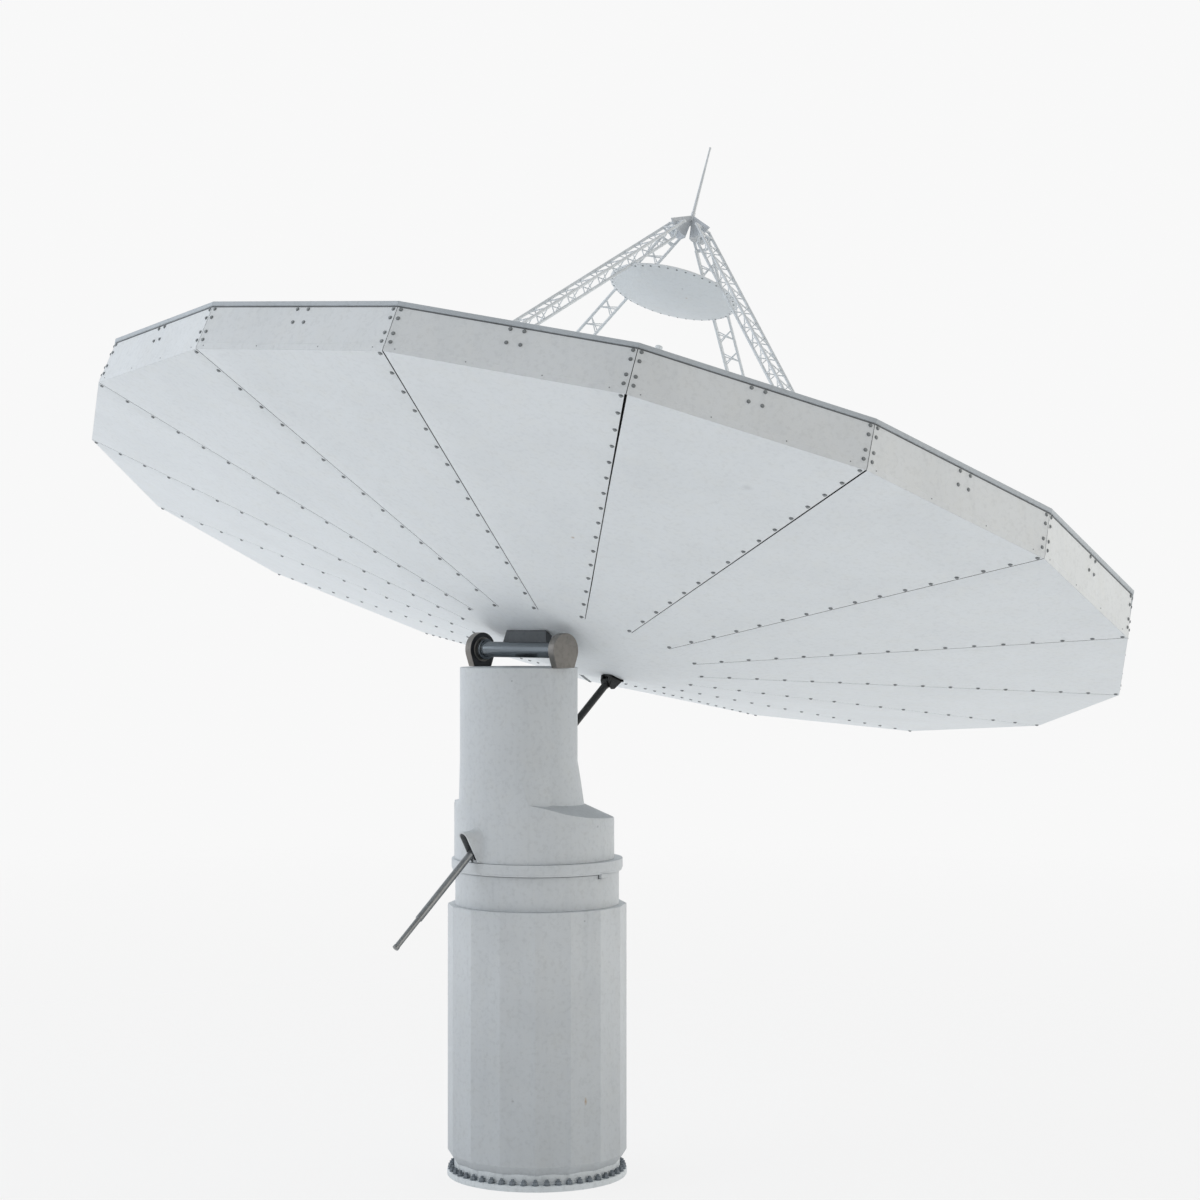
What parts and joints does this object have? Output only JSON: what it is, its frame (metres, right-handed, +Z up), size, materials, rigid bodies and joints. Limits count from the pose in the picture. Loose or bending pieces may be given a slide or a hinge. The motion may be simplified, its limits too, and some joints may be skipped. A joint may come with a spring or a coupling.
{
  "type": "steerable satellite earth station antenna",
  "caption": "Large faceted parabolic dish antenna with lattice-leg sub-reflector on a rotating pedestal, steered by an azimuth drive and a screw jack.",
  "frame": {"origin": "on the azimuth axis at the underside of the base plate", "axes": "+Z up along the azimuth axis, +X the horizontal direction the dish points in at rest, elevation axis along Y"},
  "size_m": [6.9458, 7.2988, 7.1102],
  "materials": {
    "white_aluminium": "matt white-grey paint on aluminium sheet",
    "grey_aluminium": "dull grey aluminium",
    "white_steel": "matt white-grey paint on steel",
    "grey_steel": "matt grey paint on steel",
    "galvanised_steel": "weathered zinc",
    "dark_steel": "dark grey satin paint",
    "black_steel": "black satin paint",
    "bare_steel": "bare turned steel"
  },
  "bodies": {
    "pedestal": {"base_plate": "grey_steel", "anchor_nut_ring": "galvanised_steel", "pedestal_tube": "white_steel", "bearing_neck": "white_steel", "ring_gear": "bare_steel"},
    "turret": {"turntable": "white_steel", "turret_shell": "white_steel", "turret_column": "white_steel", "screw_hood": "white_steel", "ear_left": "dark_steel", "ear_right": "dark_steel", "azimuth_motor": "grey_steel"},
    "drive_pinion": {"azimuth_pinion": "bare_steel"},
    "dish": {"petal_01": "white_aluminium", "petal_02": "white_aluminium", "petal_03": "white_aluminium", "petal_04": "white_aluminium", "petal_05": "white_aluminium", "petal_06": "white_aluminium", "petal_07": "white_aluminium", "petal_08": "white_aluminium", "petal_09": "white_aluminium", "petal_10": "white_aluminium", "petal_11": "white_aluminium", "petal_12": "white_aluminium", "petal_13": "white_aluminium", "petal_14": "white_aluminium", "petal_15": "white_aluminium", "petal_16": "white_aluminium", "rim_panel_01": "white_aluminium", "rim_panel_02": "white_aluminium", "rim_panel_03": "white_aluminium", "rim_panel_04": "white_aluminium", "rim_panel_05": "white_aluminium", "rim_panel_06": "white_aluminium", "rim_panel_07": "white_aluminium", "rim_panel_08": "white_aluminium", "rim_panel_09": "white_aluminium", "rim_panel_10": "white_aluminium", "rim_panel_11": "white_aluminium", "rim_panel_12": "white_aluminium", "rim_panel_13": "white_aluminium", "rim_panel_14": "white_aluminium", "rim_panel_15": "white_aluminium", "rim_panel_16": "white_aluminium", "hub_pan": "white_aluminium", "feed_horn": "white_aluminium", "sub_reflector": "white_aluminium", "lattice_leg_1": "grey_aluminium", "lattice_leg_2": "grey_aluminium", "lattice_leg_3": "grey_aluminium", "lattice_leg_4": "grey_aluminium", "apex_cap": "grey_aluminium", "dish_bracket": "dark_steel", "elevation_shaft": "bare_steel", "jack_clevis": "black_steel"},
    "jack_screw": {"jack_rod_upper": "black_steel", "jack_rod_lower": "bare_steel"},
    "jack_nut": {"jack_nut_housing": "grey_steel", "jack_motor": "grey_steel"}
  },
  "joints": [
    {"name": "azimuth", "type": "hinge", "parent": "pedestal", "child": "turret", "pos_m": [0, 0, 2.031], "axis": [0, 0, 1], "range_deg": [-180, 180]},
    {"name": "elevation", "type": "hinge", "parent": "turret", "child": "dish", "pos_m": [-0.15, 0, 3.506], "axis": [0, -1, 0], "range_deg": [-10, 18]},
    {"name": "pinion_spin", "type": "hinge", "parent": "turret", "child": "drive_pinion", "pos_m": [0.35, 0, 1.93], "axis": [0, 0, 1], "range_deg": [-1081, 1081]},
    {"name": "jack_screw_pivot", "type": "hinge", "parent": "dish", "child": "jack_screw", "pos_m": [0.672, 0, 3.271], "axis": [0, -1, 0], "range_deg": [-12.1, 6.8]},
    {"name": "jack_nut_swing", "type": "hinge", "parent": "turret", "child": "jack_nut", "pos_m": [-0.42, 0, 2.332], "axis": [0, -1, 0], "range_deg": [-3.4, 6.1]}
  ],
  "couplings": [
    {"joint": "pinion_spin", "follows": "azimuth", "ratio": -6},
    {"joint": "jack_screw_pivot", "follows": "elevation", "ratio": -0.665},
    {"joint": "jack_nut_swing", "follows": "elevation", "ratio": 0.335}
  ]
}
